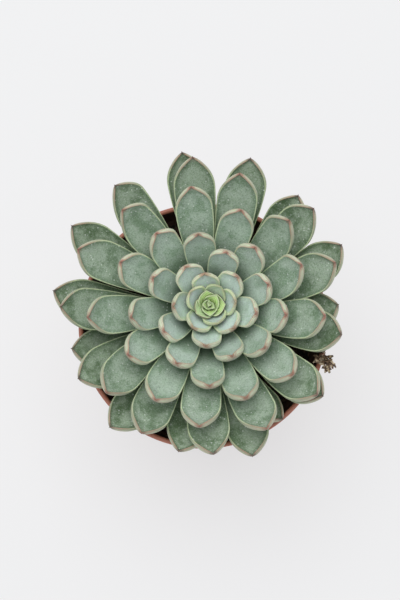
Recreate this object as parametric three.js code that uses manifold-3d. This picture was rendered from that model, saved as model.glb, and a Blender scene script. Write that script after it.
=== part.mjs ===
// A potted rosette succulent, in millimetres, +Z up.
// The origin is the centre of the pot's underside, on the plane it stands on. +X is the plant's right and
// -Y its front. The plant grows as one clockwise spiral of fleshy leaves on a short stem, so a single rule
// gives every leaf: its number, counted from the middle outwards, sets its direction, reach, height and size.
import * as THREE from 'three';
import { mergeVertices } from 'three/addons/utils/BufferGeometryUtils.js';
import Module from 'manifold-3d';

const wasm = await Module();
wasm.setup();

// ---- Driving dimensions ----
const POT_H = 88;          // pot height, so also the height of the rim
const RIM_R = 52.5;        // outer radius of the rim: a 10.5 cm pot
const FOOT_R = 37;         // outer radius at the foot
const BAND_H = 10;         // height of the thicker band under the rim
const WALL = 1.3;          // wall thickness
const GAP = 0.3;           // left between pieces that touch
const AXIS = [2.5, 5.5];   // where the stem stands
const LEAN = 6.5;          // degrees that the plant leans to its front
const NECK = POT_H - 4;    // height of the point that it leans about
const TURN = 138.5;        // degrees from one leaf to the next, clockwise from above
const START = 45;          // direction of leaf 0
const FIRST = 17;          // innermost leaf with a node of its own
const LAST = 71;           // outermost leaf
const HIDDEN = [67, 70];   // places in the spiral where no leaf is to be seen

// Leaves that stand away from their place in the spiral: degrees counter-clockwise, and mm outward.
const SWAY = {
  2: -26, 3: 13, 5: -18, 7: -8, 8: -12, 9: -3, 11: -7, 14: -2, 15: -5, 21: 2, 22: 3, 25: 7, 26: 7, 27: 4,
  29: 3, 30: 2, 32: -2, 34: 7, 35: 3, 37: -1, 38: 4, 39: 3, 41: 6, 42: 6, 43: 11, 44: 6, 45: 2, 46: 3, 47: 3,
  48: 5, 49: -2, 51: -1, 53: 7, 54: 2, 57: 4, 58: -6, 59: -4, 60: 10, 61: -6, 62: 2, 63: 2, 64: -7, 65: 9,
  66: -6, 68: 14, 69: -12, 71: 12,
};
// Leaves that are pressed down by a neighbour, in millimetres, and one that stayed small.
const DROP = { 48: 1, 58: 4, 60: 1, 61: 1.5, 69: 2, 71: 7 };
const NARROW = { 71: 0.75 };
const REACH = {
  26: -2, 29: -3, 31: 2, 32: 2, 33: -3, 36: 3, 42: -2, 44: 2, 45: 2, 49: 2, 51: -2, 55: -3, 56: -3, 57: 2,
  58: 3, 62: 2, 68: -2, 71: 2,
};

const WIDEST = 0.72;       // where along a leaf it is widest
const THICKEST = 0.66;     // and where it is thickest

const rad = (d) => (d * Math.PI) / 180;
const swell = (x) => Math.sin((Math.PI / 2) * x); // from 0 to 1, level at 1

/** Linear interpolation through [x, y] pairs. */
function along(table, x) {
  if (x <= table[0][0]) return table[0][1];
  for (let i = 1; i < table.length; i++) {
    const [x0, y0] = table[i - 1];
    const [x1, y1] = table[i];
    if (x <= x1) return y0 + ((y1 - y0) * (x - x0)) / (x1 - x0);
  }
  return table[table.length - 1][1];
}

// ---- How a leaf changes with its number, from the middle outwards ----
const TIP_R = [
  [1, 4], [10, 12.6], [20, 24], [30, 36.3], [40, 48.3], [50, 57.8], [60, 61.5], [66, 59.3], [71, 53.5],
];
const TIP_Z = [[1, 31], [8, 32], [17, 34], [25, 35], [35, 34], [45, 31], [55, 26.5], [65, 21], [71, 17.5]];
const BASE_Z = [[1, 17], [16, 12.4], [71, -3.4]];
const STEM_R = [[-14, 6.4], [-4, 6.2], [4, 5.2], [10, 3.8], [12, 3]]; // height from the rim, radius
const WIDTH = [[1, 7], [5, 9.5], [10, 11], [18, 12.3], [30, 14.4], [40, 16.4], [50, 17.4], [71, 17.4]];
const THICK = [[1, 2.4], [10, 3], [18, 3.5], [30, 4], [45, 4.4], [71, 4.4]];
const RISE_0 = [[1, 80], [10, 66], [17, 52], [30, 32], [45, 18], [60, 11], [71, 7]];
const RISE_1 = [[1, 86], [10, 76], [17, 70], [30, 60], [45, 52], [60, 46], [71, 42]];

/** The numbers that shape leaf n. */
function leafOf(n) {
  const angle = START - TURN * n;
  const zBase = along(BASE_Z, n);
  const rBase = n < FIRST ? 1.2 : along(STEM_R, zBase) + GAP;
  // The plant has grown towards its left: leaves on that side reach further, and the others stand steeper.
  const lean = Math.cos(rad(angle - 167)) * Math.min(1, n / 30);
  const rTip = along(TIP_R, n) * (1 + 0.055 * lean) + (REACH[n] ?? 0);
  return {
    n,
    angle,
    sway: SWAY[n] ?? 0,
    base: [rBase, POT_H + zBase],
    tip: [rTip, POT_H + along(TIP_Z, n) - 1.5 * lean - (DROP[n] ?? 0)],
    rise: [along(RISE_0, n) - 3 * lean, along(RISE_1, n) - 4 * lean],
    width: along(WIDTH, n) * (NARROW[n] ?? 1),
    thick: along(THICK, n),
    foot: along([[1, 0.5], [16, 0.42], [40, 0.34], [71, 0.3]], n),
  };
}

/**
 * A leaf as one closed body. Its midline is a cubic curve in the upright plane through the stem: it leaves
 * the stem at one slope and ends at a steeper one. Across it, the upper face is slightly hollow and the lower
 * face is rounded to a keel. The outline is narrow at the foot, widest near the end and closes in a blunt point.
 */
function leafBody(leaf, stations, half) {
  const { base, tip, rise, width, thick, foot } = leaf;
  const chord = Math.hypot(tip[0] - base[0], tip[1] - base[1]);
  const away = (from, degrees, far) => new THREE.Vector2(
    from[0] + far * chord * Math.cos(rad(degrees)),
    from[1] + far * chord * Math.sin(rad(degrees)),
  );
  const mid = new THREE.CubicBezierCurve(
    away(base, 0, 0), away(base, rise[0], 0.42), away(tip, rise[1], -0.3), away(tip, 0, 0),
  );
  const ring = 4 * half; // points around one section: 2*half+1 on top, the rest underneath
  const pos = [];
  for (const u of stations) {
    const c = mid.getPointAt(u);
    const t = mid.getTangentAt(u);
    const hw = (width / 2) * (u < WIDEST
      ? foot + (1 - foot) * swell(u / WIDEST) ** 1.7
      : 1 - ((u - WIDEST) / (1 - WIDEST)) ** 2.6);
    const th = thick * (u < THICKEST
      ? 0.34 + 0.66 * swell(u / THICKEST) ** 1.6
      : 1 - 0.9 * ((u - THICKEST) / (1 - THICKEST)) ** 3);
    // The hollow of the upper face follows the ring of leaves inside it.
    const cup = Math.min(0.16 * hw, (0.8 * hw * hw * t.y) / (2 * Math.max(c.x, 3)));
    const bend = rad(leaf.sway * u ** 1.3); // a leaf that stands away from its place curves sideways to it
    const put = (v, down) => {
      const lift = cup * v * v - down * th * (1 - Math.abs(v) ** 2) ** 0.9;
      const x = c.x - t.y * lift;
      const side = hw * v;
      const bentX = x * Math.cos(bend) - side * Math.sin(bend);
      const bentY = x * Math.sin(bend) + side * Math.cos(bend);
      pos.push(bentX, bentY, c.y + t.x * lift);
    };
    for (let i = 0; i <= 2 * half; i++) put(-1 + i / half, 0);
    for (let i = 1; i < 2 * half; i++) put(1 - i / half, 1);
  }
  const end = pos.length / 3;
  pos.push(tip[0] * Math.cos(rad(leaf.sway)), tip[0] * Math.sin(rad(leaf.sway)), tip[1]);
  const idx = [];
  for (let s = 0; s + 1 < stations.length; s++) {
    for (let i = 0; i < ring; i++) {
      const a = s * ring + i;
      const b = s * ring + ((i + 1) % ring);
      idx.push(a, a + ring, b, b, a + ring, b + ring);
    }
  }
  for (let i = 1; i + 1 < ring; i++) idx.push(0, i, i + 1);
  const last = (stations.length - 1) * ring;
  for (let i = 0; i < ring; i++) idx.push(last + i, end, last + ((i + 1) % ring));
  const g = new THREE.BufferGeometry();
  g.setAttribute('position', new THREE.Float32BufferAttribute(pos, 3));
  g.setIndex(idx);
  g.rotateZ(rad(leaf.angle));
  g.translate(0, 0, -NECK);
  return g;
}

/** A lathe about +Z from a profile of [radius, height] pairs. */
function turned(profile, sides) {
  const g = new THREE.LatheGeometry(profile.map(([r, z]) => new THREE.Vector2(r, z)), sides);
  g.rotateX(Math.PI / 2);
  g.deleteAttribute('normal');
  g.deleteAttribute('uv');
  return mergeVertices(g, 1e-3);
}

function solid(g) {
  const m = g.clone();
  m.deleteAttribute('normal');
  m.deleteAttribute('uv');
  const w = mergeVertices(m, 1e-4);
  return new wasm.Manifold(new wasm.Mesh({
    numProp: 3,
    vertProperties: new Float32Array(w.attributes.position.array),
    triVerts: new Uint32Array(w.index.array),
  }));
}

function geometry(body) {
  const m = body.getMesh();
  const g = new THREE.BufferGeometry();
  g.setAttribute('position', new THREE.Float32BufferAttribute(m.vertProperties, 3));
  g.setIndex(Array.from(m.triVerts));
  return g;
}

function finish(name, color, roughness) {
  return new THREE.MeshStandardMaterial({ name, color, roughness, metalness: 0 });
}

const looks = {
  terracotta: finish('terracotta_plastic', 0xb0654f, 0.55),
  soil: finish('potting_soil', 0x2b231d, 0.95),
  stem: finish('stem_bark', 0x6d6248, 0.8),
  leaf: finish('leaf', 0x7f9a85, 0.6),
  heart: finish('leaf', 0xa9bd7c, 0.55),
  dry: finish('dry_leaf', 0x9a7b58, 0.9),
};

const plant = new THREE.Group();
plant.name = 'potted_succulent';
const crown = new THREE.Group(); // stem and leaves, measured from the neck of the plant
crown.position.set(AXIS[0], AXIS[1], NECK);
crown.rotation.x = rad(LEAN);
plant.add(crown);
const add = (name, g, material, parent = plant) => {
  const mesh = new THREE.Mesh(g, material);
  mesh.name = name;
  parent.add(mesh);
  return mesh;
};

// ---- Pot: a flat centre and a foot ring on the table, a raised channel with drain holes between them ----
const bandZ = POT_H - BAND_H;
const wallTop = 48.4;
add('pot', (() => {
  const outer = [
    [0, 0], [21, 0], [23, 2.4], [31, 2.4], [33, 0], [FOOT_R - 0.6, 0], [FOOT_R, 0.6],
    [wallTop, bandZ - 0.4], [RIM_R - 1.5, bandZ + 0.6], [RIM_R - 0.9, POT_H - 2.3], [RIM_R, POT_H - 1.7],
    [RIM_R, POT_H - 0.4], [RIM_R - 0.4, POT_H],
  ];
  const inner = [
    [RIM_R - 1.5, POT_H], [RIM_R - 2.1, POT_H - 0.8], [RIM_R - 2.9, bandZ + 0.9], [wallTop - WALL, bandZ - 1],
    [FOOT_R - WALL - 0.2, 1.6], [33.6, 1.6], [31.6, 4], [22.4, 4], [20.4, 1.6], [0, 1.6],
  ];
  let body = solid(turned([...outer, ...inner], 48));
  for (let i = 0; i < 6; i++) {
    const hole = new THREE.CylinderGeometry(3, 3, 8, 10);
    hole.rotateX(Math.PI / 2);
    hole.translate(27, 0, 3);
    hole.rotateZ(rad(60 * i + 15));
    body = body.subtract(solid(hole));
  }
  return geometry(body);
})(), looks.terracotta);

// ---- Soil: fills the pot from its floor to about 10 mm below the rim, mounded at the stem ----
const soilEdge = (z) => {
  const ledge = bandZ - 1;
  const r = z > ledge
    ? wallTop - WALL + ((RIM_R - 2.9 - wallTop + WALL) * (z - ledge)) / 1.9
    : FOOT_R - WALL - 0.2 + ((wallTop - FOOT_R + 0.2) * (z - 1.6)) / (ledge - 1.6);
  return r - GAP - 0.15;
};
add('soil', (() => {
  const g = turned([
    [0, 2], [20, 2], [22.2, 4.4], [31.8, 4.4], [34, 2], [soilEdge(2), 2], [soilEdge(40), 40],
    [soilEdge(bandZ - 1.6), bandZ - 1.6], [soilEdge(bandZ - 0.4) - 0.2, bandZ - 0.4],
    [42, bandZ + 0.2], [34, bandZ + 0.9], [26, bandZ + 1.6], [18, bandZ + 2.4], [11, bandZ + 2.8],
    [7.8, bandZ + 2.8], [7.8, bandZ - 4.6], [0, bandZ - 4.6],
  ], 36);
  const p = g.attributes.position;
  for (let i = 0; i < p.count; i++) {
    const r = Math.hypot(p.getX(i), p.getY(i));
    if (p.getZ(i) > bandZ && r > 12) {
      const a = Math.atan2(p.getY(i), p.getX(i));
      p.setZ(i, p.getZ(i) + 0.7 * Math.sin(3.3 * a + r) * Math.cos(5 * a - 0.7 * r));
    }
    {
      // the stem, and so its socket, stands off the pot's centre
      const k = r < 9 ? 1 : Math.max(0, 1 - (r - 9) / 31);
      if (p.getZ(i) > bandZ - 6) p.setXYZ(i, p.getX(i) + AXIS[0] * k, p.getY(i) + AXIS[1] * k, p.getZ(i));
    }
  }
  return g;
})(), looks.soil);

// ---- Stem ----
add('stem', (() => {
  const side = STEM_R.slice(1).map(([z, r]) => [r, POT_H + z]);
  const g = turned([[0, bandZ - 3.6], [5.6, bandZ - 3.6], ...side, [0, POT_H + 12.1]], 20);
  g.translate(0, 0, -NECK);
  return g;
})(), looks.stem, crown);

// ---- Heart: the innermost leaves, joined on a solid core ----
const coarse = [0, 0.3, 0.6, 0.8, 0.92, 0.985];
const core = turned([
  [0, POT_H + 12.4], [2.6, POT_H + 12.4], [5, POT_H + 19],
  [5.6, POT_H + 24], [3.6, POT_H + 29], [0, POT_H + 30],
], 16);
core.translate(0, 0, -NECK);
let heart = solid(core);
for (let n = FIRST - 1; n >= 1; n--) {
  const leaf = leafOf(n);
  leaf.base[1] += 1.5;
  heart = heart.add(solid(leafBody(leaf, coarse, 1)));
}
add('bud', geometry(heart), looks.heart, crown);

// ---- Leaves, from the inside out: each is pressed down by those above it until it lies clear of them ----
const fine = [0, 0.16, 0.34, 0.52, 0.68, 0.8, 0.89, 0.955, 0.99];
const above = [heart];
for (let n = FIRST; n <= LAST; n++) {
  if (HIDDEN.includes(n)) continue;
  const leaf = leafOf(n);
  let g = leafBody(leaf, fine, 2);
  let body = solid(g);
  for (let k = 0; k < 20 && above.some((other) => body.intersect(other).volume() > 0.001); k++) {
    leaf.tip[1] -= 0.25;
    leaf.rise[0] -= 0.6;
    g = leafBody(leaf, fine, 2);
    body = solid(g);
  }
  above.push(body);
  add(`leaf_${n}`, g, looks.leaf, crown);
}

// ---- Dried remnant: a few withered flakes, crumpled together, on the rim at the right ----
// Each flake: where it lies, its half length, its half height and its direction in degrees.
const flakes = [
  [[50.1, -16.2], 4.2, 2.2, 20], [[51.6, -19.4], 3.4, 1.8, 75],
  [[50, -13.4], 3, 1.6, 130], [[51.8, -16.8], 2.6, 3, 50],
];
let clump = null;
for (const [[x, y], reach, rise, turn] of flakes) {
  const flake = new THREE.IcosahedronGeometry(1, 1);
  flake.scale(reach, reach * 0.55, rise);
  flake.rotateZ(rad(turn));
  flake.translate(x, y, POT_H + GAP + rise + 0.1);
  clump = clump ? clump.add(solid(flake)) : solid(flake);
}
add('dried_remnant', geometry(clump), looks.dry);

export default plant;
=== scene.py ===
# %% [markdown]
# # A potted rosette succulent
#
# The object is a fleshy rosette plant, about 120 mm across, in a round plastic nursery pot of 105 mm. It
# has one stem, and 75 leaves follow one another round it in a clockwise spiral. The CAD model holds where
# everything is. This script gives each piece its real surface and its finish.
#
# A leaf could be sculpted by hand and copied, but no two leaves in a spiral are alike: each one is older,
# longer and flatter than the one before. So a leaf is worked out here as a surface from a few lines of
# the CAD solid, and the same function makes every leaf.

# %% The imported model
import bpy
import numpy as np
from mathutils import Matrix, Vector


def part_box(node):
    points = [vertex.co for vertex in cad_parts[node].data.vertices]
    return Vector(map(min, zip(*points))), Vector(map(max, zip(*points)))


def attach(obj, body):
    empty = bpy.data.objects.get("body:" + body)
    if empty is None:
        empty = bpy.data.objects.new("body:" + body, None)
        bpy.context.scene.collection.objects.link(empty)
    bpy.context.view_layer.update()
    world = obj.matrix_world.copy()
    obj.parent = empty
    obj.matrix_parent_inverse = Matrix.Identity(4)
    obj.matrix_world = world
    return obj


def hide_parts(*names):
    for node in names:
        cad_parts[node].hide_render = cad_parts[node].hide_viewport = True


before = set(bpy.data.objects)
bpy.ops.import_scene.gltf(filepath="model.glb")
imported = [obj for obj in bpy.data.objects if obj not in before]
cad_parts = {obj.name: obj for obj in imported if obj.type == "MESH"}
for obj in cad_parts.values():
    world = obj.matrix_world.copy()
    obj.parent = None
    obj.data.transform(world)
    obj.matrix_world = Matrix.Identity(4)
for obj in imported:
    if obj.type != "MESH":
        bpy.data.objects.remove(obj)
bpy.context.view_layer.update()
MM = 0.001

# %% [markdown]
# The camera looks down on the plant, tilted 12 degrees towards the front, from about half a metre.
# Setting it first means that every piece can be looked at as soon as it is made. Plain soft light comes
# from a broad panel overhead and a pale room, so that only the deep gaps between the leaves go dark; the
# leaf skin also carries painted shade in those gaps.

# %% Camera, floor and light
from math import cos, radians, sin

TILT = radians(12)
FAR = 480 * MM
LOOK_AT = np.array([-1.3, 6.8, 103]) * MM
camera_data = bpy.data.cameras.new("camera")
camera_data.lens = 70.3
camera = bpy.data.objects.new("camera", camera_data)
camera.location = LOOK_AT + FAR * np.array([0, -sin(TILT), cos(TILT)])
camera.rotation_euler = (TILT, 0, 0)
bpy.context.scene.collection.objects.link(camera)
bpy.context.scene.camera = camera
bpy.context.scene.view_settings.view_transform = "Standard"


def lamp(name, place, aim, size, watts, tint):
    """A square soft panel at place that faces aim."""
    data = bpy.data.lights.new(name, "AREA")
    data.size = size
    data.energy = watts
    data.color = tint
    obj = bpy.data.objects.new(name, data)
    obj.location = place
    away = np.array(place) - np.array(aim)
    pitch = np.arccos(away[2] / np.linalg.norm(away))
    obj.rotation_euler = (pitch, 0, np.arctan2(away[0], -away[1]))
    bpy.context.scene.collection.objects.link(obj)


PANEL_PLACE, PANEL_AIM = (-0.15, 0.3, 1.35), (0, 0, 0.05)
PANEL_SIZE, PANEL_WATTS = 1.1, 12.5
ROOM_GLOW = 0.56
lamp("panel", PANEL_PLACE, PANEL_AIM, PANEL_SIZE, PANEL_WATTS, (1, 0.995, 0.985))
world = bpy.data.worlds.new("room")
world.use_nodes = True
world.node_tree.nodes["Background"].inputs["Color"].default_value = (0.93, 0.95, 1, 1)
world.node_tree.nodes["Background"].inputs["Strength"].default_value = ROOM_GLOW
bpy.context.scene.world = world

# %% [markdown]
# ## Helpers
#
# A procedural material is a chain of small nodes. `put` adds one node and wires its inputs in order, so a
# material reads as a list of steps. A mesh is given as arrays of points and faces.

# %% Helpers for materials and meshes


def material(name):
    """A new material and its node tree, empty but for the Principled shader."""
    mat = bpy.data.materials.new(name)
    mat.use_nodes = True
    return mat, mat.node_tree, mat.node_tree.nodes["Principled BSDF"]


def put(tree, kind, *inputs, out=0, **settings):
    """Adds a node of this kind, sets or wires its inputs in order or by name, and returns an output."""
    node = tree.nodes.new("ShaderNode" + kind)
    named = settings.pop("named", {})
    for key, value in settings.items():
        setattr(node, key, value)
    for key, value in [*enumerate(inputs), *named.items()]:
        if value is None:
            continue
        if isinstance(value, bpy.types.NodeSocket):
            tree.links.new(value, node.inputs[key])
        else:
            node.inputs[key].default_value = value
    return node.outputs[out]


def maths(tree, operation, a, b=None, c=None):
    """One calculation with up to three numbers or wires."""
    return put(tree, "Math", a, b, c, operation=operation)


def between(tree, value, low, high):
    """0 where value is low, 1 where it is high, and smooth in between."""
    return put(tree, "MapRange", value, low, high, 0.0, 1.0, interpolation_type="SMOOTHSTEP")


def blend(tree, amount, first, second):
    """The two colours mixed, with this much of the second."""
    colours = {6: first, 7: second}
    return put(tree, "Mix", amount, out=2, data_type="RGBA", clamp_factor=True, named=colours)


def noise(tree, place, scale, detail=2.0, rough=0.5):
    named = {"Vector": place, "Scale": scale, "Detail": detail, "Roughness": rough}
    return put(tree, "TexNoise", named=named)


def rgb(red, green, blue):
    return (red, green, blue, 1.0)


def make_object(name, points, faces, mat, smooth=True):
    """A mesh object from points and faces, finished with this material and riding on the one body."""
    mesh = bpy.data.meshes.new(name)
    mesh.from_pydata(np.asarray(points).tolist(), [], [list(f) for f in faces])
    mesh.materials.append(mat)
    mesh.polygons.foreach_set("use_smooth", np.full(len(mesh.polygons), smooth))
    mesh.update()
    obj = bpy.data.objects.new(name, mesh)
    bpy.context.scene.collection.objects.link(obj)
    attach(obj, "root")
    return obj


def rings_to_faces(rows, columns):
    """Four-sided faces of a tube of rows x columns points, closed around each row."""
    r, c = np.meshgrid(np.arange(rows - 1), np.arange(columns), indexing="ij")
    nxt = (c + 1) % columns
    quads = np.stack([r * columns + c, r * columns + nxt, (r + 1) * columns + nxt, (r + 1) * columns + c], -1)
    return quads.reshape(-1, 4)


FLOOR_SIZE, FLOOR_GLOW = 6, 0.60
floor_mat, tree, shader = material("floor")
shader.inputs["Base Color"].default_value = rgb(0.26, 0.262, 0.266)
shader.inputs["Emission Color"].default_value = rgb(1, 1, 1)
shader.inputs["Emission Strength"].default_value = FLOOR_GLOW
shader.inputs["Roughness"].default_value = 0.9
shader.inputs["Specular IOR Level"].default_value = 0.1
bpy.ops.mesh.primitive_plane_add(size=FLOOR_SIZE)
floor = bpy.context.object
floor.name = "floor"
floor.data.materials.append(floor_mat)

# %% [markdown]
# ## Where the plant stands
#
# The rosette leans a little to the front, so its leaves are simplest in a frame of its own: the crown.
# Its axis is the stem's, which is the long direction of the stem's corner points, and its zero is where
# that axis crosses the height of the rim.

# %% The crown's frame


def corners(name):
    """The distinct corner points of a CAD node's triangles, in metres."""
    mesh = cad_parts[name].data
    co = np.empty(len(mesh.vertices) * 3, np.float32)
    mesh.vertices.foreach_get("co", co)
    return np.unique(co.reshape(-1, 3).astype(float).round(6), axis=0)


pot_low, pot_high = (np.array(c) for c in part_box("pot"))
RIM = pot_high[2]
RIM_RADIUS = (pot_high[0] - pot_low[0]) / 2
stem_points = corners("stem")
stem_middle = stem_points.mean(0)
up = np.linalg.svd(stem_points - stem_middle)[2][0]
up *= np.sign(up[2])
across = np.array([1.0, 0, 0]) - up * up[0]
across /= np.linalg.norm(across)
CROWN_AXES = np.stack([across, np.cross(up, across), up])
CROWN = stem_middle + up * (RIM - stem_middle[2]) / up[2]


def to_crown(points):
    return (points - CROWN) @ CROWN_AXES.T


def to_world(points):
    return CROWN + points @ CROWN_AXES


print("rim at", round(RIM / MM, 1), "mm, plant leans", round(np.degrees(np.arccos(up[2])), 1), "degrees")

# %% [markdown]
# ## Leaves
#
# On the real plant a leaf is a thick, stiff pad. Its upper face is almost flat and ends in a crisp edge,
# which is drawn in red-brown near the point. Outside that edge the swollen underside shows as a pale
# band, because the end of the leaf curls upwards. The edge ends in a tiny hard point.
#
# The CAD solid of a leaf has nine sections of eight corners, and a point. They are read back here: the
# middle of the upper face, the two side edges and the middle of the underside. A spline through the
# sections carries a much finer section along the leaf.

# %% Reading a leaf's sections from its solid
SECTIONS, AROUND = 9, 8
POINT_REACH = 1.2 * MM
LEAF_BEND_RADIUS = 90 * MM
GROWING, GROWN = 24, 50


def unit(v):
    return v / np.linalg.norm(v, axis=-1, keepdims=True)


def smooth(x):
    """0 below 0, 1 above 1, and 3x^2 - 2x^3 between."""
    x = np.clip(x, 0, 1)
    return x * x * (3 - 2 * x)


def spline(at, points, wanted):
    """A natural cubic spline: cubic spans that join with equal slope and bend, and no bend at the ends."""
    gap = np.diff(at)[:, None]
    slope = np.diff(points, axis=0) / gap
    inner = np.arange(1, len(at) - 1)
    system = np.eye(len(at))
    system[inner, inner - 1] = gap[:-1, 0]
    system[inner, inner] = 2 * (gap[:-1, 0] + gap[1:, 0])
    system[inner, inner + 1] = gap[1:, 0]
    sides = np.zeros_like(points)
    sides[1:-1] = 6 * np.diff(slope, axis=0)
    bend = np.linalg.solve(system, sides)
    k = np.clip(np.searchsorted(at, wanted, side="right") - 1, 0, len(at) - 2)
    s = (wanted - at[k])[:, None]
    g = gap[k]
    start = slope[k] - g * (2 * bend[k] + bend[k + 1]) / 6
    return points[k] + s * start + s**2 * bend[k] / 2 + s**3 * (bend[k + 1] - bend[k]) / (6 * g)


def read_leaf(name):
    """The leaf's midline, side direction, half width and thickness, from its nine sections and point."""
    points = to_crown(corners(name))
    foot = points[np.argsort(np.hypot(points[:, 0], points[:, 1]))[:AROUND]].mean(0)
    far = np.argmax(np.linalg.norm(points - foot, axis=1))
    tip = points[far]
    rest = np.delete(points, far, axis=0)
    chord = unit(tip - foot)
    sections = rest[np.argsort(rest @ chord)].reshape(SECTIONS, AROUND, 3)
    aside = unit(np.cross([0, 0, 1], chord))
    order = np.argsort(sections @ aside, axis=1)
    sections = np.take_along_axis(sections, order[:, :, None], axis=1)
    right, left = sections[:, 0], sections[:, -1]
    centre = sections[:, 3:5]
    above = np.argmax(centre @ np.cross(chord, aside), axis=1)
    rows = np.arange(SECTIONS)
    top, under = centre[rows, above], centre[rows, 1 - above]
    reach = tip + unit(tip - top[-1]) * POINT_REACH
    grown = smooth((int(name[5:]) - GROWING) / (GROWN - GROWING))
    return {
        "mid": np.vstack([top, reach]),
        "side": unit(left - right),
        "half": np.linalg.norm(left - right, axis=1).max() / 2,
        "thick": np.linalg.norm(top - under, axis=1).max(),
        "foot": 0.32,
        "flank": (0.72 - 0.24 * grown) * MM,
        "curl": 0.8 * MM * (1 - grown),
        "pointed": 0.3,
        "spike": 1.0,
        "bend": lambda mid: np.full(len(mid), 1 / LEAF_BEND_RADIUS),
    }


leaf_names = sorted((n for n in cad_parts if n.startswith("leaf_")), key=lambda n: int(n[5:]))
leaves = {int(name[5:]): read_leaf(name) for name in leaf_names}
oldest = leaves[max(leaves)]
oldest_length = np.linalg.norm(oldest["mid"][-1] - oldest["mid"][0])
print(len(leaves), "leaves read; the last is", round(oldest_length / MM), "mm long")

# %% [markdown]
# The section across a leaf is made of four curves: the hollow upper face, a small rounded flank outside
# each edge, and the underside. Their sizes change along the leaf. The half width swells from the foot to
# broad shoulders a little past three quarters of the length and then closes in a round end. The thickness
# stays almost full until the very end, which is what makes the end look padded. The point of a grown leaf
# is a thin spike 1.5 mm long.
#
# Many leaves have one fuller shoulder, so the two halves close at different places.

# %% The leaf surface
LONG, FACE, FLANK, UNDER = 60, 19, 4, 17
SHOULDER = 0.77
SPIKE_LONG, SPIKE_THICK = 1.5 * MM, 0.34 * MM
FULLER_SHOULDER = {28: 0.7, 34: -0.8, 39: -0.9, 41: 0.9, 52: -0.4, 54: 0.9}


def half_outline(u, end, shoulder, foot, pointed):
    """Half width: foot + (1 - foot) sin^1.7 up to the shoulder, then (1 - x^p)^q down to the end.

    A round end has p = 2.3 and q = 0.74. A pointed one has p = 1.3 and q = 1, which is nearly a triangle.
    """
    p, q = 2.3 - pointed, 0.74 + 0.26 * pointed
    rise = foot + (1 - foot) * np.sin(np.pi / 2 * np.minimum(u / shoulder, 1)) ** 1.7
    fall = np.clip(1 - (np.clip(u - shoulder, 0, None) / (end - shoulder)) ** p, 0, 1) ** q
    return np.where(u < shoulder, rise, fall)


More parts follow.
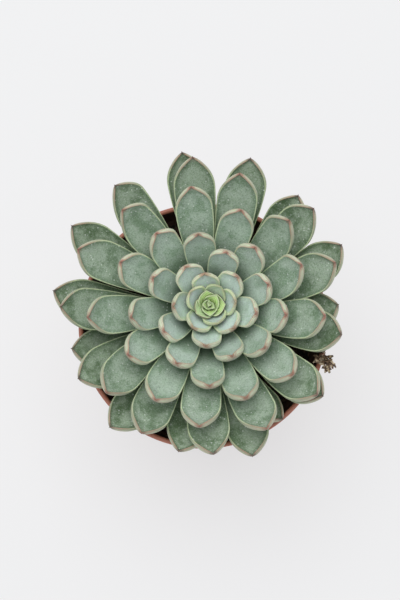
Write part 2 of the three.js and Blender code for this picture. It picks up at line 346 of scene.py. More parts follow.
def leaf_surface(leaf, skew, wave):
    """Points (rows x around) of a leaf, with each point's distance from the edge and from the tip in mm."""
    t = np.linspace(0, 1, LONG)
    u = 1 - (1 - t) ** 1.6
    known = np.concatenate([[0], np.cumsum(np.linalg.norm(np.diff(leaf["mid"], axis=0), axis=1))])
    length = known[-1]
    mid = spline(known / length, leaf["mid"], u)
    ahead = unit(np.gradient(mid, u, axis=0))
    side = spline(known[:-1] / length, leaf["side"], np.minimum(u, known[-2] / length))
    side = unit(side - ahead * (side * ahead).sum(1, keepdims=True))
    up_face = np.cross(ahead, side)
    curl = leaf["curl"] * smooth((u - 0.8) / 0.25) ** 1.5
    mid = mid + up_face * curl[:, None]
    ahead = unit(np.gradient(mid, u, axis=0))
    up_face = np.cross(ahead, side)

    spike_long, spike_thick = SPIKE_LONG * leaf["spike"], SPIKE_THICK * leaf["spike"]
    end = 1 - 0.7 * spike_long / length
    left = leaf["half"] * half_outline(u, end, SHOULDER - 0.09 * skew, leaf["foot"], leaf["pointed"])
    right = leaf["half"] * half_outline(u, end, SHOULDER + 0.09 * skew, leaf["foot"], leaf["pointed"])
    full = leaf["thick"] * (0.36 + 0.64 * np.sin(np.pi / 2 * np.minimum(u / 0.62, 1)) ** 1.4)
    thick = full * np.clip(1 - (np.clip(u - 0.5, 0, None) / (end - 0.5)) ** 5, 0, 1) ** 0.6
    spike = spike_thick * smooth((1 - u) * length / (0.9 * spike_long)) * (u > 0.9)
    left, right = np.cbrt(left**3 + spike**3), np.cbrt(right**3 + spike**3)
    thick = np.cbrt(np.minimum(thick, 2.4 * np.minimum(left, right)) ** 3 + (1.8 * spike) ** 3)
    flank = (0.2 + 0.8 * smooth((u - 0.6) / 0.38)) * leaf["flank"]
    cup = np.minimum(0.10 * leaf["half"] + 0.25 * MM, 0.4 * thick)
    drop = np.minimum(1.4 * flank, 0.4 * thick)

    v = np.sin(np.pi / 2 * np.linspace(-1, 1, FACE))
    s = np.pi / 2 * np.linspace(0, 1, FLANK + 1)[1:]
    a = np.pi * np.linspace(0, 1, UNDER)[1:-1]
    across = np.concatenate([v, np.ones(FLANK), np.cos(a), -np.ones(FLANK)])
    half = np.where(across > 0, left[:, None], right[:, None])
    flank = np.minimum(flank[:, None], 0.3 * half)
    cup, drop, thick = cup[:, None], drop[:, None], thick[:, None]
    on_face, on_left = slice(0, FACE), slice(FACE, FACE + FLANK)
    on_under = slice(on_left.stop, on_left.stop + UNDER - 2)
    on_right = slice(on_under.stop, on_under.stop + FLANK)
    x, z, edge = (np.zeros_like(half) for _ in range(3))
    inner = half - flank
    ripple = 0.05 * thick * np.sin(2 * np.pi * (1.3 * u[:, None] + 0.7 * v + wave)) * (1 - v**2)
    x[:, on_face], z[:, on_face] = v * inner[:, on_face], cup * np.abs(v) ** 2.2 + ripple
    edge[:, on_face] = -inner[:, on_face] * (1 - np.abs(v))
    for part, sign, angle in ((on_left, 1, s), (on_right, -1, s[::-1])):
        x[:, part] = sign * (inner[:, part] + flank[:, part] * np.sin(angle))
        z[:, part] = cup - drop * (1 - np.cos(angle))
        edge[:, part] = flank[:, part] * angle
    x[:, on_under] = half[:, on_under] * np.cos(a)
    z[:, on_under] = cup - drop - (thick + cup - drop) * np.sin(a) ** 0.85
    edge[:, on_under] = flank[:, on_under] * np.pi / 2 + half[:, on_under] * (1 - np.abs(np.cos(a)))
    bend = leaf["bend"](mid)[:, None]
    x, z = np.sin(x * bend) * (1 / bend - z), 1 / bend - np.cos(x * bend) * (1 / bend - z)
    points = mid[:, None] + side[:, None] * x[..., None] + up_face[:, None] * z[..., None]
    from_tip = np.linalg.norm(points - mid[-1], axis=2)
    return points, edge / MM, from_tip / MM, np.broadcast_to(u[:, None], x.shape)


def make_leaf(name, leaf, number, mat):
    """A closed leaf: the rings of leaf_surface, a flat foot and the rings' last points drawn to the tip."""
    chance = np.random.default_rng(900 + number)
    tone, wave, lopsided = chance.uniform(-1, 1, 3)
    points, edge, from_tip, along = leaf_surface(leaf, FULLER_SHOULDER.get(number, 0.25 * lopsided), wave)
    rows, columns = edge.shape
    ring = points[:-1].reshape(-1, 3)
    body = to_world(np.vstack([ring, points[:1].mean((0, 1)), points[-1:].mean((0, 1))]))
    foot, tip = len(ring), len(ring) + 1
    quads = rings_to_faces(rows - 1, columns)
    c = np.arange(columns)
    nxt = (c + 1) % columns
    last = (rows - 2) * columns
    fans = [(foot, j, i) for i, j in zip(c, nxt)] + [(last + i, last + j, tip) for i, j in zip(c, nxt)]
    faces = quads.tolist() + fans
    obj = make_object(name, body, faces, mat)
    marks = np.zeros((len(body), 3), np.float32)
    marks[:len(ring), 0] = edge[:-1].ravel()
    marks[:len(ring), 1] = from_tip[:-1].ravel()
    marks[foot] = (8, from_tip[0, 0], 0)
    marks[:, 2] = number
    obj.data.attributes.new("leaf", "FLOAT_VECTOR", "POINT").data.foreach_set("vector", marks.ravel())
    growth = np.zeros((len(body), 3), np.float32)
    growth[:len(ring), 0] = along[:-1].ravel()
    growth[tip, 0] = 1
    growth[:, 1] = tone
    obj.data.attributes.new("growth", "FLOAT_VECTOR", "POINT").data.foreach_set("vector", growth.ravel())
    return obj


# %% [markdown]
# ## The leaf's skin
#
# Real leaves carry a thin wax bloom that scatters blue-grey light. It is thick on young leaves and worn
# on old ones and along the edges, where the green shows through. A few numbers of each point drive the
# finish: its distance outside the edge, its distance from the tip, how far along the leaf it is, the
# leaf's number in the spiral, and a tone of the leaf's own. They are stored in two attributes, so the
# pattern follows the leaf wherever it points.

# %% Leaf material


def leaf_material():
    mat, tree, shader = material("leaf_skin")
    place = put(tree, "TexCoord", out=3)
    marks = put(tree, "Attribute", out=1, attribute_name="leaf")
    edge = put(tree, "SeparateXYZ", marks, out=0)
    tip = put(tree, "SeparateXYZ", marks, out=1)
    number = put(tree, "SeparateXYZ", marks, out=2)
    growth = put(tree, "Attribute", out=1, attribute_name="growth")
    along = put(tree, "SeparateXYZ", growth, out=0)
    tone = put(tree, "SeparateXYZ", growth, out=1)

    clouds = noise(tree, place, 125.0, 4.0, 0.6)
    grain = noise(tree, place, 1700.0, 4.0, 0.8)
    streaks = noise(tree, place, 800.0, 4.0, 0.65)
    young = between(tree, number, 6.5, 2.5)
    old = between(tree, number, 24.0, 58.0)
    bloom = blend(tree, between(tree, number, 6.0, 30.0), rgb(0.60, 0.74, 0.67), rgb(0.48, 0.60, 0.49))
    bloom = blend(tree, old, bloom, rgb(0.34, 0.43, 0.31))
    bare = blend(tree, old, rgb(0.30, 0.43, 0.30), rgb(0.10, 0.165, 0.075))

    worn_by_age = put(tree, "MapRange", number, 10.0, 30.0, 0.35, 0.95)
    worn = maths(tree, "MULTIPLY", between(tree, clouds, 0.44, 0.64), worn_by_age)
    rubbed = maths(tree, "MULTIPLY", between(tree, edge, -3.2, -0.3), 0.8)
    worn = maths(tree, "MAXIMUM", worn, maths(tree, "MULTIPLY", rubbed, between(tree, number, 8.0, 36.0)))
    face = blend(tree, worn, bloom, bare)
    coarse = put(tree, "MapRange", number, 8.0, 26.0, 0.2, 0.85)
    dark_grain = maths(tree, "MULTIPLY", between(tree, grain, 0.5, 0.36), coarse)
    dark_grain = maths(tree, "MULTIPLY", dark_grain, 0.62)
    face = blend(tree, dark_grain, face, rgb(0.075, 0.125, 0.075))
    pale_grain = maths(tree, "MULTIPLY", between(tree, grain, 0.52, 0.66), coarse)
    pale_grain = maths(tree, "MULTIPLY", pale_grain, 0.5)
    face = blend(tree, pale_grain, face, rgb(0.66, 0.74, 0.70))

    fleck = put(tree, "TexVoronoi", named={"Vector": place, "Scale": 560.0, "Randomness": 1.0})
    fleck_kind = put(tree, "TexVoronoi", out=1, named={"Vector": place, "Scale": 560.0, "Randomness": 1.0})
    chosen = between(tree, put(tree, "SeparateColor", fleck_kind), 0.55, 0.65)
    flecks = maths(tree, "MULTIPLY", between(tree, fleck, 0.22, 0.12), chosen)
    # Painted shade: the face is painted dark green towards the leaf's foot, where the leaves above shade it.
    start = put(tree, "MapRange", number, 6.0, 40.0, 0.73, 0.72)
    foot = between(tree, maths(tree, "SUBTRACT", start, along), 0.0, 0.36)
    face = blend(tree, maths(tree, "MULTIPLY", foot, 0.86), face, rgb(0.045, 0.085, 0.04))
    face = blend(tree, maths(tree, "MULTIPLY", flecks, 0.65), face, rgb(0.78, 0.84, 0.78))

    lines = maths(tree, "SINE", maths(tree, "MULTIPLY_ADD", streaks, 3.0, maths(tree, "MULTIPLY", edge, 5.0)))
    heart_green = blend(tree, between(tree, lines, -0.1, 0.9), rgb(0.64, 0.85, 0.34), rgb(0.40, 0.64, 0.18))
    face = blend(tree, young, face, heart_green)
    lime_rim = maths(tree, "MULTIPLY", between(tree, edge, -2.0, -0.5), between(tree, number, 20.0, 6.0))
    lime_rim = maths(tree, "MULTIPLY", lime_rim, put(tree, "MapRange", streaks, 0.35, 0.6, 0.45, 0.95))
    face = blend(tree, lime_rim, face, rgb(0.58, 0.74, 0.38))

    pale = blend(tree, between(tree, number, 5.0, 14.0), rgb(0.66, 0.80, 0.44), rgb(0.66, 0.73, 0.54))
    pale = blend(tree, between(tree, number, 14.0, 36.0), pale, rgb(0.50, 0.49, 0.35))
    pale = blend(tree, old, pale, rgb(0.38, 0.41, 0.28))
    side_edge = blend(tree, old, rgb(0.44, 0.55, 0.35), rgb(0.30, 0.37, 0.19))
    near_tip = between(tree, tip, 19.0, 8.0)
    band = blend(tree, near_tip, side_edge, pale)
    speckle = maths(tree, "MULTIPLY", between(tree, grain, 0.5, 0.3), 0.5)
    band = blend(tree, speckle, band, rgb(0.25, 0.30, 0.19))
    wavy_edge = maths(tree, "MULTIPLY_ADD", streaks, 7.0, maths(tree, "MULTIPLY", edge, 13.0))
    stripes = maths(tree, "SINE", wavy_edge)
    tan = put(tree, "MapRange", number, 5.0, 16.0, 0.3, 0.95)
    tan = maths(tree, "MULTIPLY", between(tree, stripes, -0.2, 0.7), tan)
    tan = maths(tree, "MULTIPLY", tan, between(tree, tip, 11.0, 2.0))
    band = blend(tree, tan, band, rgb(0.43, 0.24, 0.18))
    under = blend(tree, old, rgb(0.36, 0.46, 0.35), rgb(0.24, 0.31, 0.20))
    ruddy = maths(tree, "MULTIPLY", between(tree, clouds, 0.45, 0.7), 0.6)
    under = blend(tree, ruddy, under, rgb(0.38, 0.33, 0.28))
    # Painted shade: the underside is painted dark towards the foot, where it lies down among the other
    # leaves.
    painted_under_shade = maths(tree, "MULTIPLY", between(tree, along, 0.55, 0.2), 0.6)
    under = blend(tree, painted_under_shade, under, rgb(0.08, 0.12, 0.06))
    outer_line = maths(tree, "MULTIPLY", between(tree, edge, 0.55, 0.85), between(tree, edge, 1.6, 1.0))
    band = blend(tree, maths(tree, "MULTIPLY", outer_line, 0.6), band, rgb(0.66, 0.72, 0.52))
    under = blend(tree, between(tree, edge, 1.4, 4.5), band, under)
    # Painted shade: just outside the edge, the flank of the heart leaves and the leaves round them is painted
    # near black, so each reads with a dark gap round it.
    painted_gap_shade = maths(tree, "MULTIPLY", between(tree, edge, 1.0, 1.8), between(tree, number, 15.0, 8.0))
    painted_gap_shade = maths(tree, "MAXIMUM", painted_gap_shade, maths(tree, "MULTIPLY", between(tree, edge, 0.12, 0.3), young))
    under = blend(tree, maths(tree, "MULTIPLY", painted_gap_shade, 0.95), under, rgb(0.012, 0.025, 0.008))
    skin = blend(tree, between(tree, edge, -0.3, 0.1), face, under)

    blush = maths(tree, "MULTIPLY", between(tree, tip, 11.0, 2.0), between(tree, edge, -1.0, -0.1))
    blush = maths(tree, "MULTIPLY", blush, put(tree, "MapRange", stripes, -0.6, 0.8, 0.3, 1.0))
    blush = maths(tree, "MULTIPLY", blush, between(tree, edge, 1.3, 0.2))
    blush = maths(tree, "MULTIPLY", blush, put(tree, "MapRange", streaks, 0.38, 0.6, 0.2, 1.0))
    blush = maths(tree, "MULTIPLY", blush, put(tree, "MapRange", number, 6.0, 34.0, 0.14, 0.5))
    blush_colour = blend(tree, old, rgb(0.42, 0.20, 0.155), rgb(0.34, 0.21, 0.17))
    skin = blend(tree, blush, skin, blush_colour)
    line = maths(tree, "MULTIPLY", between(tree, edge, -0.42, -0.08), between(tree, edge, 0.3, 0.05))
    line = maths(tree, "MULTIPLY", line, put(tree, "MapRange", streaks, 0.35, 0.6, 0.5, 0.95))
    reddened = maths(tree, "MULTIPLY", between(tree, tip, 13.0, 5.0), between(tree, number, 8.0, 24.0))
    line_colour = blend(tree, reddened, rgb(0.68, 0.78, 0.50), rgb(0.50, 0.31, 0.23))
    skin = blend(tree, line, skin, line_colour)
    ragged = maths(tree, "MULTIPLY_ADD", streaks, 5.0, maths(tree, "SUBTRACT", tip, 2.5))
    point = maths(tree, "MULTIPLY", between(tree, ragged, 3.4, 0.6), between(tree, number, 2.0, 12.0))
    oldest_points = between(tree, number, 44.0, 54.0)
    point_colour = blend(tree, oldest_points, rgb(0.34, 0.11, 0.085), rgb(0.085, 0.06, 0.06))
    skin = blend(tree, maths(tree, "MULTIPLY", point, 0.75), skin, point_colour)
    shade = put(tree, "MapRange", tone, -1.0, 1.0, 0.0, 0.2)
    skin = blend(tree, shade, skin, rgb(0.13, 0.19, 0.12))
    tree.links.new(skin, shader.inputs["Base Color"])

    rough = put(tree, "MapRange", worn, 0.0, 1.0, 0.68, 0.5)
    rough = maths(tree, "ADD", rough, maths(tree, "MULTIPLY", grain, 0.1))
    tree.links.new(rough, shader.inputs["Roughness"])
    height = maths(tree, "ADD", maths(tree, "MULTIPLY", grain, 0.6), clouds)
    bump = put(tree, "Bump", named={"Strength": 0.5, "Distance": 0.0003, "Height": height})
    tree.links.new(bump, shader.inputs["Normal"])
    shader.inputs["Specular IOR Level"].default_value = 0.3
    shader.inputs["Subsurface Weight"].default_value = 0.1
    shader.inputs["Subsurface Radius"].default_value = (0.5, 1.0, 0.35)
    shader.inputs["Subsurface Scale"].default_value = 1.5 * MM
    shader.inputs["Sheen Weight"].default_value = 0.1
    shader.inputs["Sheen Roughness"].default_value = 0.4
    return mat


leaf_skin = leaf_material()
for number, leaf in leaves.items():
    piece = make_leaf(f"leaf_{number}_skin", leaf, number, leaf_skin)
    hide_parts(f"leaf_{number}")
print("outer leaves made:", len(leaves))

# %% [markdown]
# ## The heart
#
# The innermost leaves are joined in one CAD solid, so their lines can't be read back. They follow the
# same spiral, so each is worked out here: a cubic curve that climbs beside the axis and opens outwards at
# its top.
#
# Young leaves are wide for how close to the axis they sit, so each is rolled round it like a scale of an
# artichoke. The roll is a bend whose radius is about 1.6 to 5 times the leaf's own distance from the axis,
# and the scales then nest.

# %% The heart's leaves
TURN, START, JOINED, YOUNGEST = 138.5, 45, 16, -5
HEART_SWAY = {0: 6, 1: 6, 2: -26, 3: 11, 4: 4, 5: -18, 7: -8, 8: -12, 9: -3, 11: -7, 14: -2, 15: -5}
AGES = [-5, -4, -3, -2, -1, 0, 1, 2, 3, 4, 5, 6, 7, 8, 9, 16]
TIP_REACH = np.array([0.7, 1.2, 1.9, 2.6, 3.1, 4.6, 4.7, 5.8, 6.3, 6.5, 8.5, 8.5, 9.6, 10.8, 11.7, 19.3]) * MM
HALF_WIDTH = np.array([0.6, 0.9, 1.3, 1.7, 2.4, 3.7, 3.6, 4.5, 5.1, 5.0, 5.0, 5.2, 5.4, 5.5, 5.6, 6.2]) * MM
bud_points = to_crown(corners("bud"))
bud_foot, bud_top = bud_points[:, 2].min(), bud_points[:, 2].max()


def heart_leaf(n):
    """Leaf n of the heart, in the form that read_leaf gives, from its place in the spiral."""
    reach = np.interp(n, AGES, TIP_REACH)
    low = bud_foot + np.interp(n, [-5, 16], [8, 2]) * MM
    high = bud_top - np.interp(n, [-5, 1, 8, 16], [2.0, 2.5, 1.6, 0.3]) * MM
    first = radians(np.interp(n, [-5, 5, 16], [89, 84, 62]))
    last = radians(np.interp(n, [-5, 1, 5, 10, 16], [38, 36, 45, 52, 60]))
    chord = np.hypot(reach, high - low)
    start = np.interp(n, [-5, 1, 16], [0.3, 0.9, 2.0]) * MM
    ends = np.array([[start, low], [reach, high]])
    handles = ends + np.array([
        [0.55 * chord * cos(first), 0.55 * chord * sin(first)],
        [-0.3 * chord * cos(last), -0.3 * chord * sin(last)],
    ])
    s = np.linspace(0, 1, SECTIONS + 1)[:, None]
    flat = (1 - s) ** 3 * ends[0] + 3 * s * (1 - s) ** 2 * handles[0]
    flat = flat + 3 * s**2 * (1 - s) * handles[1] + s**3 * ends[1]
    angle = radians(START - TURN * n) + radians(HEART_SWAY.get(n, 0)) * (s[:, 0] ** 1.3)
    mid = np.stack([flat[:, 0] * np.cos(angle), flat[:, 0] * np.sin(angle), flat[:, 1]], 1)
    side = np.stack([-np.sin(angle), np.cos(angle), 0 * angle], 1)[:-1]
    roll = np.interp(n, [-5, 1, 5, 10, 16], [2.0, 1.7, 1.6, 2.4, 5.0])
    return {
        "mid": mid,
        "side": side,
        "half": np.interp(n, AGES, HALF_WIDTH),
        "thick": np.interp(n, [-5, 1, 5, 10, 16], [0.4, 1.0, 1.8, 2.7, 3.4]) * MM,
        "foot": 0.6,
        "flank": np.interp(n, [-5, 0, 3, 6, 16], [0.07, 0.12, 0.2, 0.5, 0.7]) * MM,
        "curl": np.interp(n, [-5, 3, 8, 16], [0, 0, 0.6, 0.8]) * MM,
        "pointed": np.interp(n, [1, 7], [0.9, 0.4]),
        "spike": np.interp(n, [-5, 4, 16], [0.1, 0.15, 0.85]),
        "bend": lambda mid: 1 / (roll * np.hypot(mid[:, 0], mid[:, 1]) + 0.4 * MM),
    }


for n in range(YOUNGEST, JOINED + 1):
    piece = make_leaf(f"heart_leaf_{n - YOUNGEST + 1}", heart_leaf(n), n, leaf_skin)
    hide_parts("bud")
print("heart leaves made:", JOINED - YOUNGEST + 1)

# %% [markdown]
# ## The stem
#
# The stem is a short woody stump that only shows from low down, between the feet of the leaves. Dropped
# leaves leave a raised scar each, in the same spiral. It is a tube about a third of a millimetre inside
# the CAD stem, with a soft bump for every scar.

# %% Stem
STEM_ROWS, STEM_ROUND, SCARS = 90, 72, 90
stem_axis_points = to_crown(stem_points)
stem_low, stem_high = stem_axis_points[:, 2].min(), stem_axis_points[:, 2].max()
z = np.linspace(stem_low, stem_high, STEM_ROWS)[:, None]
theta = np.linspace(0, 2 * np.pi, STEM_ROUND, endpoint=False)[None]
stem_heights = [stem_low, -4 * MM, 4 * MM, 10 * MM, stem_high]
stem_radius = np.interp(z, stem_heights, np.array([6.3, 6.1, 5.1, 3.7, 2.9]) * MM)
scar = np.arange(SCARS)[:, None, None]
scar_height = stem_low + (stem_high - stem_low) * (scar + 0.5) / SCARS
turned = (theta - np.radians(START - TURN * scar) + np.pi) % (2 * np.pi) - np.pi
bumps = np.exp(-((turned * stem_radius / (1.5 * MM)) ** 2) - ((z - scar_height) / (0.7 * MM)) ** 2).sum(0)
stem_radius = stem_radius - 0.25 * MM + 0.3 * MM * bumps
stem_shape = np.stack([stem_radius * np.cos(theta), stem_radius * np.sin(theta), z + 0 * theta], -1)
stem_shape = stem_shape.reshape(-1, 3)


def closed_tube(points, rows, columns):
    """Points and faces of a tube of rings, with a point in the middle of each end and faces round it."""
    points = np.asarray(points).reshape(rows * columns, 3)
    ends = [points[:columns].mean(0), points[-columns:].mean(0)]
    c = np.arange(columns)
    nxt = (c + 1) % columns
    first, last, base = rows * columns, rows * columns + 1, (rows - 1) * columns
    fans = [(first, j, i) for i, j in zip(c, nxt)] + [(last, base + i, base + j) for i, j in zip(c, nxt)]
    faces = rings_to_faces(rows, columns).tolist() + [list(map(int, f)) for f in fans]
    return np.vstack([points, ends]), faces


def bark_material():
    mat, tree, shader = material("stem_bark")
    place = put(tree, "TexCoord", out=3)
    rings = put(tree, "Mapping", place, named={"Scale": (1.0, 1.0, 4.0)})
    cracks = noise(tree, rings, 420.0, 5.0, 0.7)
    colour = blend(tree, between(tree, cracks, 0.35, 0.65), rgb(0.085, 0.060, 0.038), rgb(0.30, 0.23, 0.145))
    green = noise(tree, place, 160.0)
    greened = maths(tree, "MULTIPLY", between(tree, green, 0.5, 0.7), 0.4)
    colour = blend(tree, greened, colour, rgb(0.16, 0.19, 0.09))
    tree.links.new(colour, shader.inputs["Base Color"])
    tree.links.new(put(tree, "MapRange", cracks, 0.0, 1.0, 0.7, 0.95), shader.inputs["Roughness"])
    bump = put(tree, "Bump", named={"Strength": 0.8, "Distance": 0.0006, "Height": cracks})
    tree.links.new(bump, shader.inputs["Normal"])
    return mat


stem_body, stem_faces = closed_tube(to_world(stem_shape), STEM_ROWS, STEM_ROUND)
stem = make_object("stem_with_scars", stem_body, stem_faces, bark_material())
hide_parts("stem")
print("stem:", round((stem_high - stem_low) / MM), "mm long")

# %% [markdown]
# ## The pot
#
# A nursery pot is one thin shell of moulded plastic: a tapered wall, a stiff band under the rim, a rolled
# lip, and a foot with a round groove where the drain holes are. All of it is round, so it is one profile
# turned about the middle, with every corner of the profile eased into a small curve. The holes are cut
# out afterwards.

# %% Pot
SIDES = 144
mm_profile = np.array([
    (0, 0), (21, 0), (23, 2.4), (31, 2.4), (33, 0), (36.4, 0), (37, 0.6), (39.8, 20),
    (48.4, 77.6), (51, 78.6), (51.15, 80.6), (51.3, 82.4), (51.6, 85.5), (52.5, 86.2),
    (52.5, 87.5), (52.0, 88), (51.1, 88), (50.4, 87.1), (49.6, 79), (47.1, 77), (38.5, 20),
    (35.5, 1.6), (33.6, 1.6), (31.6, 4), (22.4, 4), (20.4, 1.6), (0, 1.6),
])
pot_profile = mm_profile / [52.5, 88] * [RIM_RADIUS, pot_high[2] - pot_low[2]]


def eased(profile, radius):
    """Each corner becomes a quadratic curve of four points, from a radius before it to one after it."""
    before = profile[:-2] - profile[1:-1]
    after = profile[2:] - profile[1:-1]
    length = np.minimum(np.linalg.norm(before, axis=1), np.linalg.norm(after, axis=1))
    step = np.minimum(radius, 0.42 * length)[:, None]
    a = profile[1:-1] + unit(before) * step
    b = profile[1:-1] + unit(after) * step
    t = np.linspace(0, 1, 4)[:, None, None]
    curve = (1 - t) ** 2 * a + 2 * t * (1 - t) * profile[1:-1] + t**2 * b
    return np.vstack([profile[:1], curve.transpose(1, 0, 2).reshape(-1, 2), profile[-1:]])


def turned_shape(profile, sides):
    """A profile of (radius, height), from the axis back to the axis, turned round: closed at both poles."""
    ring = profile[1:-1]
    angle = np.linspace(0, 2 * np.pi, sides, endpoint=False)
    r, h = ring[:, 0][:, None], ring[:, 1][:, None]
    points = np.stack([r * np.cos(angle), r * np.sin(angle), h + 0 * angle], -1)
    body, faces = closed_tube(points, len(ring), sides)
    body[-2:, 2] = profile[[0, -1], 1]
    return body, faces


def cut(obj, cutter_points, cutter_faces):
    """Takes the cutter's shape out of an object's mesh for good."""
    mesh = bpy.data.meshes.new("cutter")
    mesh.from_pydata(np.asarray(cutter_points).tolist(), [], cutter_faces)
    cutter = bpy.data.objects.new("cutter", mesh)
    bpy.context.scene.collection.objects.link(cutter)
    step = obj.modifiers.new("holes", "BOOLEAN")
    step.object = cutter
    step.solver = "EXACT"
    ready = bpy.data.meshes.new_from_object(obj.evaluated_get(bpy.context.evaluated_depsgraph_get()))
    obj.modifiers.clear()
    obj.data = ready
    bpy.data.objects.remove(cutter)


def pot_material():
    mat, tree, shader = material("terracotta_plastic")
    place = put(tree, "TexCoord", out=3)
    height = put(tree, "SeparateXYZ", place, out=2)
    clouds = noise(tree, place, 45.0, 4.0, 0.6)
    grain = noise(tree, place, 1800.0, 2.0, 0.5)
    colour = blend(tree, between(tree, clouds, 0.35, 0.65), rgb(0.43, 0.135, 0.085), rgb(0.50, 0.17, 0.11))
    splash = maths(tree, "MULTIPLY", between(tree, height, 0.03, 0.0), between(tree, clouds, 0.4, 0.6))
    dust = noise(tree, place, 260.0, 5.0, 0.75)
    dusty = maths(tree, "MULTIPLY", between(tree, dust, 0.5, 0.75), 0.4)
    colour = blend(tree, dusty, colour, rgb(0.58, 0.34, 0.26))
    colour = blend(tree, maths(tree, "MULTIPLY", splash, 0.45), colour, rgb(0.20, 0.11, 0.075))
    drawn = put(tree, "Mapping", place, named={"Scale": (1.0, 1.0, 0.06)})
    scuffs = between(tree, noise(tree, drawn, 700.0, 2.0, 0.6), 0.66, 0.74)
    colour = blend(tree, maths(tree, "MULTIPLY", scuffs, 0.35), colour, rgb(0.66, 0.40, 0.31))
    # Painted shade: the inside wall between the soil and the rim is painted near black, as it lies in shade
    # under the leaves.
    inside = put(tree, "Mapping", place, named={"Scale": (1.0, 1.0, 0.0)})
    from_axis = put(tree, "VectorMath", inside, out=1, operation="LENGTH")
    slope = put(tree, "MapRange", height, 0.0016, 0.077, 0.0362, 0.0478)
    band_wall = put(tree, "MapRange", height, 0.0772, 0.0792, 0.0474, 0.0506)
    in_band = maths(tree, "MULTIPLY", between(tree, height, 0.0768, 0.077), band_wall)
    slope = maths(tree, "MAXIMUM", slope, in_band)
    painted_inner_wall_shade = between(tree, maths(tree, "SUBTRACT", slope, from_axis), -0.0004, 0.0002)
    painted_inner_wall_shade = maths(tree, "MULTIPLY", painted_inner_wall_shade, between(tree, height, 0.0878, 0.0871))
    colour = blend(tree, maths(tree, "MULTIPLY", painted_inner_wall_shade, 0.95), colour, rgb(0.022, 0.014, 0.011))
    # Painted highlight: the top of the lip is painted a lighter terracotta.
    painted_lip_highlight = maths(tree, "MULTIPLY", between(tree, height, 0.0868, 0.0877), 0.5)
    colour = blend(tree, painted_lip_highlight, colour, rgb(0.45, 0.19, 0.13))
    tree.links.new(colour, shader.inputs["Base Color"])
    rough = put(tree, "MapRange", clouds, 0.3, 0.7, 0.42, 0.55)
    rough = maths(tree, "ADD", rough, maths(tree, "MULTIPLY", dusty, 0.5))
    tree.links.new(rough, shader.inputs["Roughness"])
    rings = maths(tree, "SINE", maths(tree, "MULTIPLY", height, 5200.0))
    relief = maths(tree, "ADD", maths(tree, "MULTIPLY", rings, 0.12), maths(tree, "MULTIPLY", grain, 0.5))
    bump = put(tree, "Bump", named={"Strength": 0.35, "Distance": 0.0002, "Height": relief})
    tree.links.new(bump, shader.inputs["Normal"])
    shader.inputs["Specular IOR Level"].default_value = 0.45
    return mat


HOLES, HOLE_ROUND, HOLE_RADIUS, HOLE_CIRCLE = 6, 24, 3 * MM, 27 * MM
pot_body, pot_faces = turned_shape(eased(pot_profile, 0.7 * MM), SIDES)
pot = make_object("nursery_pot", pot_body, pot_faces, pot_material())
ring = np.linspace(0, 2 * np.pi, HOLE_ROUND, endpoint=False)
for spoke in np.radians(360 / HOLES * np.arange(HOLES) + 15):
    hole = np.stack([
        HOLE_CIRCLE * cos(spoke) + HOLE_RADIUS * np.cos(ring),
        HOLE_CIRCLE * sin(spoke) + HOLE_RADIUS * np.sin(ring),
        np.zeros(HOLE_ROUND),
    ], 1)
    ends = np.vstack([hole - [0, 0, 5 * MM], hole + [0, 0, 9 * MM]])
    hole_body, hole_faces = closed_tube(ends, 2, HOLE_ROUND)
    cut(pot, hole_body, hole_faces)
pot.data.polygons.foreach_set("use_smooth", np.full(len(pot.data.polygons), True))
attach(pot, "root")
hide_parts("pot")
print("pot:", len(pot.data.polygons), "faces, rim", round(2 * RIM_RADIUS / MM, 1), "mm across")

# %% [markdown]
# ## The soil
#
# The soil is dark peat with crumbs, and it rises a little round the stem. Its bulk is one turned shape,
# filled against the pot, whose top is roughened by a sum of sine waves of many lengths. Loose crumbs and
# a few pale grains of grit lie on it: each is a twenty-sided solid, squashed and turned by chance.

# %% Soil
soil_low, soil_high = (np.array(c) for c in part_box("soil"))
SOIL_EDGE = soil_high[0] - 0.1 * MM
SOIL_TOP = RIM - 9.2 * MM
chance = np.random.default_rng(41)
WAVES = 60
wave_length = np.geomspace(1.6, 22, WAVES) * MM
wave_turn = chance.uniform(0, 2 * np.pi, WAVES)
wave_start = chance.uniform(0, 2 * np.pi, WAVES)


def soil_height(x, y):
    """Top of the soil: a level, a mound at the stem, and waves that rise about 1/63 of their length."""
    run = x[..., None] * np.cos(wave_turn) + y[..., None] * np.sin(wave_turn)
    rough = (wave_length / 22 * np.sin(2 * np.pi * run / wave_length + wave_start)).sum(-1) * 0.35
    from_stem = np.hypot(x - CROWN[0], y - CROWN[1])
    mound = 2.2 * MM * np.exp(-((from_stem / (20 * MM)) ** 2))
    return SOIL_TOP + mound + np.clip(rough, -1.6 * MM, 1.4 * MM)


SOIL_ROUND, SOIL_ROWS = 240, 80
across_top = SOIL_EDGE * np.linspace(1, 0.004, SOIL_ROWS)[:, None]
theta = np.linspace(0, 2 * np.pi, SOIL_ROUND, endpoint=False)[None]
x, y = across_top * np.cos(theta), across_top * np.sin(theta)
top = np.stack([x, y, soil_height(x, y)], -1)
wall_radius = np.array([soil_high[0] - 13 * MM, SOIL_EDGE - 11 * MM, SOIL_EDGE - 1.2 * MM])[:, None]
wall_height = np.array([soil_low[2] + 3 * MM, soil_low[2] + 4 * MM, SOIL_TOP - 6 * MM])[:, None]
wall = np.stack([wall_radius * np.cos(theta), wall_radius * np.sin(theta), wall_height + 0 * theta], -1)
soil_body, soil_faces = closed_tube(np.vstack([wall, top]), len(wall) + SOIL_ROWS, SOIL_ROUND)


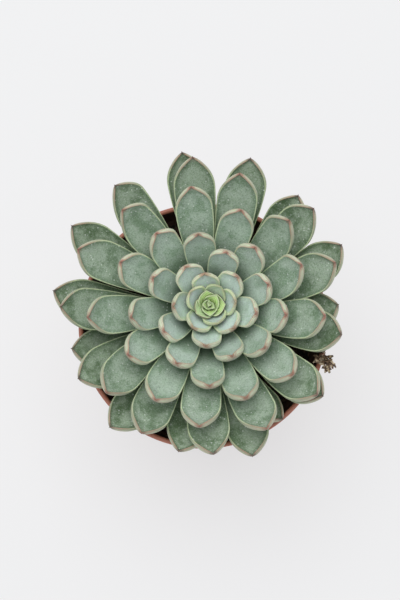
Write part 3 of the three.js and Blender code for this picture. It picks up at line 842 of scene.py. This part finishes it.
def soil_material():
    mat, tree, shader = material("potting_soil")
    place = put(tree, "TexCoord", out=3)
    lumps = noise(tree, place, 500.0, 6.0, 0.75)
    patches = noise(tree, place, 120.0, 3.0, 0.6)
    colour = blend(tree, between(tree, lumps, 0.42, 0.66), rgb(0.006, 0.005, 0.004), rgb(0.075, 0.045, 0.028))
    reddish = maths(tree, "MULTIPLY", between(tree, patches, 0.5, 0.7), between(tree, lumps, 0.5, 0.7))
    colour = blend(tree, reddish, colour, rgb(0.15, 0.07, 0.045))
    tree.links.new(colour, shader.inputs["Base Color"])
    tree.links.new(put(tree, "MapRange", lumps, 0.3, 0.7, 0.75, 1.0), shader.inputs["Roughness"])
    bump = put(tree, "Bump", named={"Strength": 0.9, "Distance": 0.0012, "Height": lumps})
    tree.links.new(bump, shader.inputs["Normal"])
    shader.inputs["Specular IOR Level"].default_value = 0.2
    return mat


soil_skin = soil_material()
soil = make_object("peat", soil_body, soil_faces, soil_skin)
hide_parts("soil")

GOLDEN = (1 + 5**0.5) / 2
NEIGHBOUR = 1.2  # on a ball of radius 1 neighbours are 1.05 apart, and the next points 1.70
corner_signs = np.array([(0, a, b * GOLDEN) for a in (-1, 1) for b in (-1, 1)])
TWENTY_POINTS = unit(np.vstack([np.roll(corner_signs, k, axis=1) for k in range(3)]))
near = np.linalg.norm(TWENTY_POINTS[:, None] - TWENTY_POINTS[None], axis=-1) < NEIGHBOUR
TWENTY_FACES = [
    (i, j, k) if np.linalg.det(TWENTY_POINTS[[i, j, k]]) > 0 else (i, k, j)
    for i in range(12) for j in range(i + 1, 12) for k in range(j + 1, 12)
    if near[i, j] and near[j, k] and near[i, k]
]


def scatter(name, count, smallest, largest, mat):
    """Crumbs on the soil: twenty-sided solids, each stretched, turned and set down by chance."""
    size = smallest * (largest / smallest) ** (chance.random(count) ** 2)
    reach = (SOIL_EDGE - largest) * np.sqrt(chance.uniform(0.03, 1, count))
    where = chance.uniform(0, 2 * np.pi, count)
    x, y = reach * np.cos(where), reach * np.sin(where)
    turn, _ = np.linalg.qr(chance.normal(size=(count, 3, 3)))
    turn *= np.sign(np.linalg.det(turn))[:, None, None]
    stretch = chance.uniform([0.7, 0.5, 0.35], [1.2, 0.9, 0.7], (count, 3)) * size[:, None]
    knobs = chance.uniform(0.75, 1.15, (count, 12, 1))
    crumbs = np.einsum("nij,nkj->nki", turn, TWENTY_POINTS[None] * stretch[:, None] * knobs)
    crumbs += np.stack([x, y, soil_height(x, y) + 0.35 * size], -1)[:, None]
    faces = (np.array(TWENTY_FACES)[None] + 12 * np.arange(count)[:, None, None]).reshape(-1, 3)
    piece = make_object(name, crumbs.reshape(-1, 3), faces.tolist(), mat, smooth=False)
    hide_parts("soil")


def grit_material():
    mat, tree, shader = material("pale_grit")
    place = put(tree, "TexCoord", out=3)
    patches = noise(tree, place, 300.0, 4.0, 0.6)
    colour = blend(tree, between(tree, patches, 0.35, 0.65), rgb(0.28, 0.20, 0.14), rgb(0.62, 0.55, 0.46))
    tree.links.new(colour, shader.inputs["Base Color"])
    tree.links.new(put(tree, "MapRange", patches, 0.3, 0.7, 0.6, 0.9), shader.inputs["Roughness"])
    bump = put(tree, "Bump", named={"Strength": 0.5, "Distance": 0.0003, "Height": patches})
    tree.links.new(bump, shader.inputs["Normal"])
    return mat


CRUMBS, GRAINS = 900, 60
scatter("peat_crumbs", CRUMBS, 0.5 * MM, 2.2 * MM, soil_skin)
scatter("grit", GRAINS, 0.4 * MM, 1.1 * MM, grit_material())
print("soil level:", round((RIM - SOIL_TOP) / MM, 1), "mm below the rim")

# %% [markdown]
# ## The dried remnant
#
# A withered piece of leaf lies on the rim: a crumpled tuft of small papery scales, dark brown with straw
# coloured patches. Each scale is a thin pad rolled across and curled along, by chance, and they all start
# near the places of the CAD flakes.

# %% Dried remnant
SCALES, SCALE_LONG, SCALE_ROUND = 46, 12, 14
dry_low, dry_high = (np.array(c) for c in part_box("dried_remnant"))
dry_points = corners("dried_remnant")


def scale_of_husk(root, heading, length, width, curl, roll):
    """A scale: a path that turns up by curl along it, a sin^0.6 outline, and a section rolled to an arc."""
    u = np.linspace(0.02, 0.98, SCALE_LONG)
    pitch = heading[2] + curl * u
    level = np.array([[np.cos(heading[1]), np.sin(heading[1])]])
    step = np.column_stack([np.cos(pitch)[:, None] * level, np.sin(pitch)])
    mid = root + length * np.cumsum(step, 0) / len(u)
    side = np.array([-np.sin(heading[1]), np.cos(heading[1]), 0])
    side = side * np.cos(heading[0]) + np.array([0, 0, 1]) * np.sin(heading[0])
    side = unit(side[None] - step * (step @ side)[:, None])
    normal = np.cross(step, side)
    half = width / 2 * np.sin(np.pi * u) ** 0.6
    around = np.linspace(0, 2 * np.pi, SCALE_ROUND, endpoint=False)[None]
    across = half[:, None] * np.cos(around)
    depth = 0.13 * MM * np.sin(around) + roll * across**2 / width
    depth = depth + 0.12 * width * np.sin(9 * u)[:, None] * np.cos(around) ** 2
    return mid[:, None] + side[:, None] * across[..., None] + normal[:, None] * depth[..., None]


def husk_material():
    mat, tree, shader = material("dry_scale")
    place = put(tree, "TexCoord", out=3)
    fibres = noise(tree, place, 900.0, 4.0, 0.7)
    patches = noise(tree, place, 330.0, 2.0, 0.6)
    colour = blend(tree, between(tree, fibres, 0.4, 0.62), rgb(0.05, 0.028, 0.018), rgb(0.30, 0.19, 0.11))
    colour = blend(tree, between(tree, patches, 0.5, 0.62), colour, rgb(0.72, 0.60, 0.42))
    tree.links.new(colour, shader.inputs["Base Color"])
    tree.links.new(put(tree, "MapRange", fibres, 0.3, 0.7, 0.6, 0.9), shader.inputs["Roughness"])
    bump = put(tree, "Bump", named={"Strength": 0.6, "Distance": 0.0003, "Height": fibres})
    tree.links.new(bump, shader.inputs["Normal"])
    return mat


chance = np.random.default_rng(7)
husk_points, husk_faces = [], []
for k in range(SCALES):
    root = dry_points[chance.integers(len(dry_points))] * 0.7 + dry_points.mean(0) * 0.3
    heading = chance.uniform([-1.2, 0, -0.5], [1.2, 2 * np.pi, 1.1])
    length, width = chance.uniform(2.2, 4.6) * MM, chance.uniform(1.0, 2.2) * MM
    shell = scale_of_husk(root, heading, length, width, chance.uniform(-1.5, 2.0), chance.uniform(-1.5, 1.5))
    body, faces = closed_tube(shell, SCALE_LONG, SCALE_ROUND)
    husk_faces += [[i + len(husk_points) * len(body) for i in f] for f in faces]
    husk_points.append(body)
husk_body = np.vstack(husk_points)
husk = make_object("dried_tuft", husk_body, husk_faces, husk_material())
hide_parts("dried_remnant")
past_node = np.maximum(dry_low - husk_body.min(0), husk_body.max(0) - dry_high) / MM
print("dried tuft:", len(husk_points), "scales, past its CAD node by", past_node.round(1), "mm")
